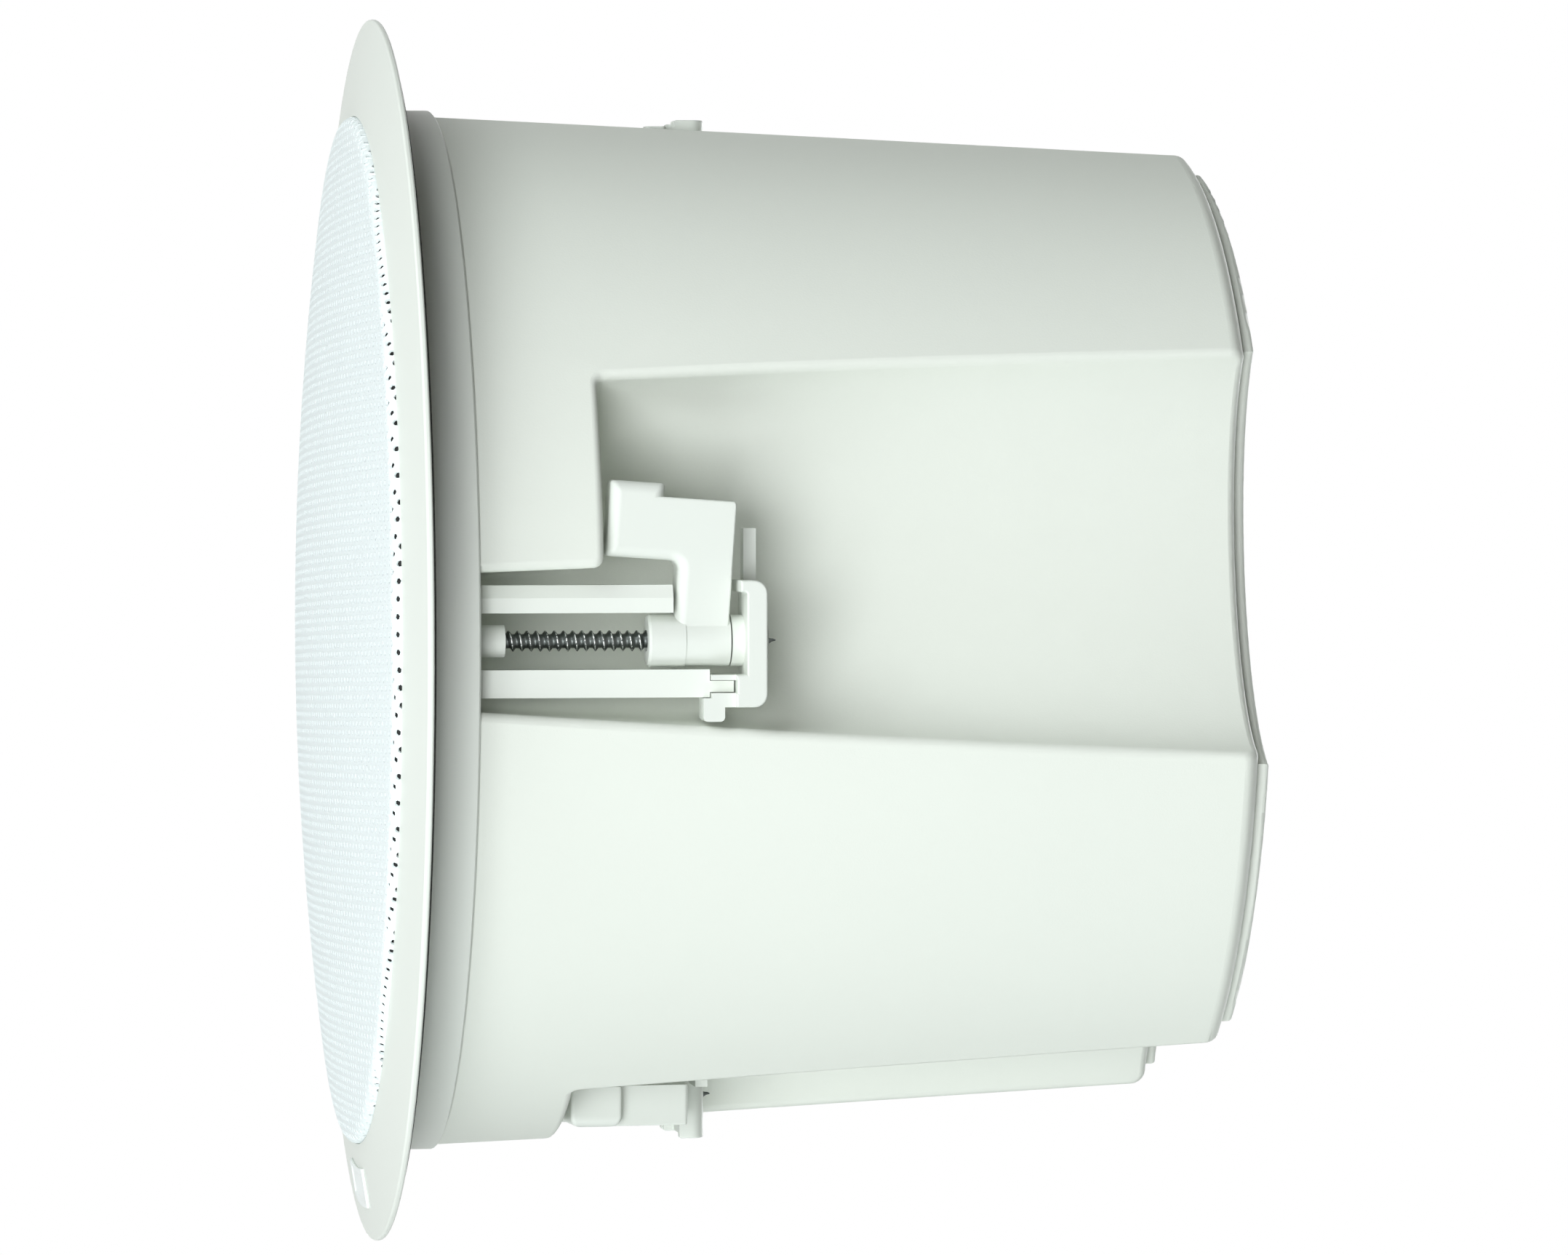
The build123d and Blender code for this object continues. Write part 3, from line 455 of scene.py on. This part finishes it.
class Signal:
    """A shader socket that takes part in Python expressions, each of which adds its Math node."""

    def __init__(self, finish, socket):
        self.finish = finish
        self.socket = socket

    def maths(self, operation, first, second):
        return self.finish.node("ShaderNodeMath", {"operation": operation}, {0: first, 1: second})

    def __add__(self, other):
        return self.maths("ADD", self, other)

    def __radd__(self, other):
        return self.maths("ADD", other, self)

    def __sub__(self, other):
        return self.maths("SUBTRACT", self, other)

    def __rsub__(self, other):
        return self.maths("SUBTRACT", other, self)

    def __mul__(self, other):
        return self.maths("MULTIPLY", self, other)

    def __rmul__(self, other):
        return self.maths("MULTIPLY", other, self)


class Finish:
    """A material whose nodes are added one by one behind its Principled shader."""

    def __init__(self, name, fixed):
        self.material = bpy.data.materials.new(name)
        self.material.use_nodes = True
        self.tree = self.material.node_tree
        self.shader = self.tree.nodes["Principled BSDF"]
        self.feed(self.shader, fixed)
        self.place = self.node("ShaderNodeTexCoord", output="Object")

    def feed(self, node, sockets):
        for name, value in sockets.items():
            socket = node.inputs[name]
            if isinstance(value, Signal):
                self.tree.links.new(value.socket, socket)
            else:
                socket.default_value = value

    def node(self, kind, settings={}, sockets={}, output=0):
        """Adds a node, sets it, fills its sockets and gives one of its outputs."""
        node = self.tree.nodes.new(kind)
        for name, value in settings.items():
            setattr(node, name, value)
        self.feed(node, sockets)
        return Signal(self, node.outputs[output])

    def noise(self, size, detail=2.0):
        """Noise with features of a size."""
        sockets = {"Vector": self.place, "Scale": 1 / size, "Detail": detail}
        return self.node("ShaderNodeTexNoise", {}, sockets)

    def bands(self, size, direction):
        """Even bands of a width, across X, Y or Z."""
        sockets = {"Vector": self.place, "Scale": UNIT_BANDS / size}
        return self.node("ShaderNodeTexWave", {"bands_direction": direction}, sockets, "Fac")

    def between(self, share, first, second):
        """Colour that goes from the first to the second as the share goes from 0 to 1."""
        sockets = {MIX_SHARE: share, MIX_FIRST: first, MIX_SECOND: second}
        return self.node("ShaderNodeMix", {"data_type": "RGBA"}, sockets, MIX_COLOUR)

    def rising(self, value, low, high):
        """Goes smoothly from 0 to 1 while a value goes from low to high."""
        return self.node("ShaderNodeMapRange", {"interpolation_type": "SMOOTHSTEP"},
                         {"Value": value, "From Min": low, "From Max": high})

    def cells(self, size):
        """Cells or crystals of a size, darkest at their middles."""
        return self.node("ShaderNodeTexVoronoi", {}, {"Vector": self.place, "Scale": 1 / size})

    def relief(self, height, depth):
        return self.node("ShaderNodeBump", {}, {"Height": height, "Distance": depth})

    def surface(self, colour, roughness, normal):
        """Feeds the shader what changes over the surface, and gives the finished material."""
        self.feed(self.shader, {"Base Color": colour, "Roughness": roughness, "Normal": normal})
        return self.material


def tinted(colour, share):
    """A colour made darker, with its full alpha."""
    return tuple(c * share for c in colour) + (1,)


def moulding(slot, colour, roughness, grain, depth, clouding=0.96, **fixed):
    """Moulded plastic, paint or rubber with a fine grain and faint clouds."""
    finish = Finish(slot, fixed)
    clouds = finish.noise(CLOUD_SIZE, 4)
    rubs = finish.noise(RUB_SIZE, 3)
    specks = finish.noise(grain)
    shade = 0.6 * clouds + 0.25 * rubs + 0.15 * specks
    return finish.surface(finish.between(shade, tinted(colour, clouding), tinted(colour, 1)),
                          roughness + 0.12 * (rubs - 0.5), finish.relief(specks, depth))


def blackened_steel(slot, black, bare_steel_and_highlight):
    """Dark oxide with bright metal painted on the crests of a thread where small scratches cross them,
    partly as wear and partly as a painted highlight.
    """
    finish = Finish(slot, {"Metallic": 1.0})
    crest = finish.node("ShaderNodeAttribute", {"attribute_name": "crest"}, {}, "Fac")
    scratches = finish.noise(SCRATCH_SIZE, 4)
    # Painted highlight and wear: the bright colour goes on the thread crests where the scratches cross
    # them
    crest_wear_and_highlight = finish.rising(crest, 0.75, 1.0) * finish.rising(scratches, 0.40, 0.58)
    return finish.surface(finish.between(crest_wear_and_highlight, tinted(black, 1), tinted(bare_steel_and_highlight, 1)),
                          0.34 - 0.12 * crest_wear_and_highlight + 0.1 * (scratches - 0.5),
                          finish.relief(scratches, SCRATCH_DEPTH))


def plated_metal(slot, colour, spangle, roughness):
    """Plated or turned metal with a mottle of small crystals."""
    finish = Finish(slot, {"Metallic": 1.0})
    crystals = finish.cells(spangle)
    haze = finish.noise(HAZE_SIZE, 4)
    lines = finish.noise(TOOL_LINE_SIZE)
    shade = 0.5 * crystals + 0.5 * haze
    return finish.surface(finish.between(shade, tinted(colour, 0.8), tinted(colour, 1)),
                          roughness + 0.15 * (haze - 0.5), finish.relief(lines, TOOL_LINE_DEPTH))


def wound_wire(slot, colour, wire):
    """Enamelled wire laid turn beside turn."""
    finish = Finish(slot, {"Metallic": 0.9})
    turns = finish.bands(wire, "Z")
    varnish = finish.noise(VARNISH_SIZE, 3)
    shade = 0.7 * turns + 0.3 * varnish
    return finish.surface(finish.between(shade, tinted(colour, 0.35), tinted(colour, 1)),
                          0.28 + 0.2 * varnish, finish.relief(turns, wire / 3))


def woven_cloth(slot, colour, thread, depth):
    """Threads over and under each other, set in resin."""
    finish = Finish(slot, {})
    weave = finish.bands(thread, "X") * finish.bands(thread, "Y")
    resin = finish.noise(RESIN_SIZE, 3)
    shade = 0.6 * weave + 0.4 * resin
    return finish.surface(finish.between(shade, tinted(colour, 0.6), tinted(colour, 1)),
                          0.8 - 0.15 * resin, finish.relief(weave, depth))


def closed_cell_foam(slot, colour, cell):
    """Dull foam with small cells and a little dust."""
    finish = Finish(slot, {})
    cells = finish.cells(cell)
    dust = finish.noise(DUST_SIZE, 3)
    shade = 0.6 * cells + 0.4 * dust
    return finish.surface(finish.between(shade, tinted(colour, 0.6), tinted(colour, 1)),
                          0.9 - 0.1 * dust, finish.relief(cells, cell / 3))


def glass_laminate(slot, colour, copper):
    """Green laminate with tinned tracks under its lacquer."""
    finish = Finish(slot, {"Coat Weight": 0.3})
    weave = finish.bands(GLASS_THREAD, "X") * finish.bands(GLASS_THREAD, "Y")
    tracks = finish.rising(finish.bands(TRACK_WIDTH, "Y") * finish.noise(TRACK_BREAKS, 0), 0.42, 0.46)
    base = finish.between(weave, tinted(colour, 0.8), tinted(colour, 1))
    return finish.surface(finish.between(tracks, base, tinted(copper, 1)),
                          0.42 - 0.1 * weave, finish.relief(tracks, TRACK_HEIGHT))


finishes = {
    "white_trim": moulding("white_trim", (0.84, 0.87, 0.81), 0.45, 0.5 * MM, 0.006 * MM, **MATT),
    "white_can": moulding("white_can", (0.84, 0.87, 0.80), 0.55, 0.45 * MM, 0.020 * MM, **MATT),
    "white_clamp": moulding("white_clamp", (0.79, 0.82, 0.765), 0.45, 0.5 * MM, 0.008 * MM, **MATT),
    "white_grille": moulding("white_grille", (0.87, 0.93, 0.93), 0.5, 0.3 * MM, 0.012 * MM),
    "grille_cloth": woven_cloth("grille_cloth", (0.012, 0.012, 0.012), 0.35 * MM, 0.05 * MM),
    "badge": moulding("badge", (0.88, 0.92, 0.90), 0.35, 0.3 * MM, 0.006 * MM),
    "foam": closed_cell_foam("foam", (0.06, 0.06, 0.055), 0.8 * MM),
    # Its second colour is bright metal painted on the thread crests, partly as wear and partly as a
    # painted highlight
    "black_steel": blackened_steel("black_steel", (0.09, 0.10, 0.095), (0.72, 0.74, 0.72)),
    "painted_basket": moulding("painted_basket", (0.035, 0.035, 0.035), 0.45, 0.6 * MM, 0.03 * MM, 0.7),
    "black_rubber": moulding("black_rubber", (0.03, 0.03, 0.03), 0.62, 0.4 * MM, 0.02 * MM, 0.6),
    "cone_polymer": moulding("cone_polymer", (0.06, 0.06, 0.065), 0.38, 1.2 * MM, 0.02 * MM, 0.7),
    "alloy": plated_metal("alloy", (0.72, 0.72, 0.74), 0.6 * MM, 0.32),
    "copper_wire": wound_wire("copper_wire", (0.72, 0.34, 0.14), 0.35 * MM),
    "spider_cloth": woven_cloth("spider_cloth", (0.55, 0.42, 0.18), 0.5 * MM, 0.12 * MM),
    "zinc_steel": plated_metal("zinc_steel", (0.62, 0.63, 0.60), 1.8 * MM, 0.36),
    "ferrite": moulding("ferrite", (0.07, 0.07, 0.07), 0.6, 0.7 * MM, 0.06 * MM, 0.6),
    "black_plastic": moulding("black_plastic", (0.03, 0.03, 0.03), 0.48, 0.4 * MM, 0.02 * MM, 0.7),
    "dome_cloth": woven_cloth("dome_cloth", (0.05, 0.05, 0.055), 0.25 * MM, 0.04 * MM),
    "board": glass_laminate("board", (0.04, 0.16, 0.06), (0.5, 0.46, 0.38)),
    "ceramic": moulding("ceramic", (0.72, 0.70, 0.63), 0.75, 0.6 * MM, 0.08 * MM, 0.85),
    "cable": moulding("cable", (0.06, 0.06, 0.06), 0.5, 0.8 * MM, 0.015 * MM, 0.8),
    "fibre": moulding("fibre", (0.80, 0.80, 0.76), 0.9, 1.2 * MM, 0.6 * MM, 0.7),
}


def dress_nodes():
    """Gives every CAD node the finish of its slot."""
    for row in frame["record"]["subparts"]:
        node = nodes[row["node"]]
        node.data.materials.clear()
        node.data.materials.append(finishes[row["material_slot"]])


# Studio

def seen_white(tree, lit, output):
    """Shows plain white to the camera and to reflections, and another shader to everything else."""
    path = tree.nodes.new("ShaderNodeLightPath")
    white = tree.nodes.new("ShaderNodeEmission")
    mix = tree.nodes.new("ShaderNodeMixShader")
    rays = path.outputs["Is Camera Ray"]
    for name in ("Is Glossy Ray", "Is Transmission Ray"):
        either = tree.nodes.new("ShaderNodeMath")
        either.operation = "MAXIMUM"
        tree.links.new(rays, either.inputs[0])
        tree.links.new(path.outputs[name], either.inputs[1])
        rays = either.outputs[0]
    tree.links.new(rays, mix.inputs[0])
    tree.links.new(lit, mix.inputs[1])
    tree.links.new(white.outputs[0], mix.inputs[2])
    tree.links.new(mix.outputs[0], output)


def light_world():
    world = bpy.data.worlds.new("studio")
    world.use_nodes = True
    tree = world.node_tree
    tree.nodes["Background"].inputs["Color"].default_value = AMBIENT
    seen_white(tree, tree.nodes["Background"].outputs[0], tree.nodes["World Output"].inputs["Surface"])
    bpy.context.scene.world = world


def lay_floor():
    bpy.ops.object.select_all(action="DESELECT")
    bpy.ops.mesh.primitive_plane_add(size=FLOOR_SIZE, location=(0, 0, FLOOR_HEIGHT))
    floor = start_mesh("studio_floor")
    material = bpy.data.materials.new("studio_floor")
    material.use_nodes = True
    tree = material.node_tree
    shader = tree.nodes["Principled BSDF"]
    shader.inputs["Base Color"].default_value = FLOOR_COLOUR
    seen_white(tree, shader.outputs[0], tree.nodes["Material Output"].inputs["Surface"])
    floor.data.materials.append(material)


def hang_lamp(name, place, size, power, colour):
    data = bpy.data.lights.new(name, "AREA")
    data.size = size
    data.energy = power
    data.color = colour
    lamp = bpy.data.objects.new(name, data)
    bpy.context.scene.collection.objects.link(lamp)
    lamp.location = place
    lamp.rotation_euler = (LAMP_TARGET - lamp.location).to_track_quat("-Z", "Y").to_euler()


def place_camera():
    data = bpy.data.cameras.new("camera")
    data.lens = CAMERA_LENS
    data.sensor_width = CAMERA_SENSOR
    camera = bpy.data.objects.new("camera", data)
    bpy.context.scene.collection.objects.link(camera)
    turn = Matrix.Rotation(CAMERA_TURN, 3, "Z") @ LYING
    turn = turn @ Matrix.Rotation(CAMERA_YAW, 3, "Y")
    turn = turn @ Matrix.Rotation(CAMERA_PITCH, 3, "X")
    turn = turn @ Matrix.Rotation(CAMERA_ROLL, 3, "Z")
    camera.matrix_world = Matrix.Translation(CAMERA_PLACE) @ turn.to_4x4()
    bpy.context.scene.camera = camera


dress_nodes()
dish = Dish()
perforated_grille(dish)
lining_cloth(dish)
for number in range(1, CLAMPS + 1):
    clamp_screw(number)
framed_badge()
light_world()
lay_floor()
for name, lamp in LAMPS.items():
    hang_lamp(name, **lamp)
place_camera()
bpy.context.scene.view_settings.view_transform = "Standard"
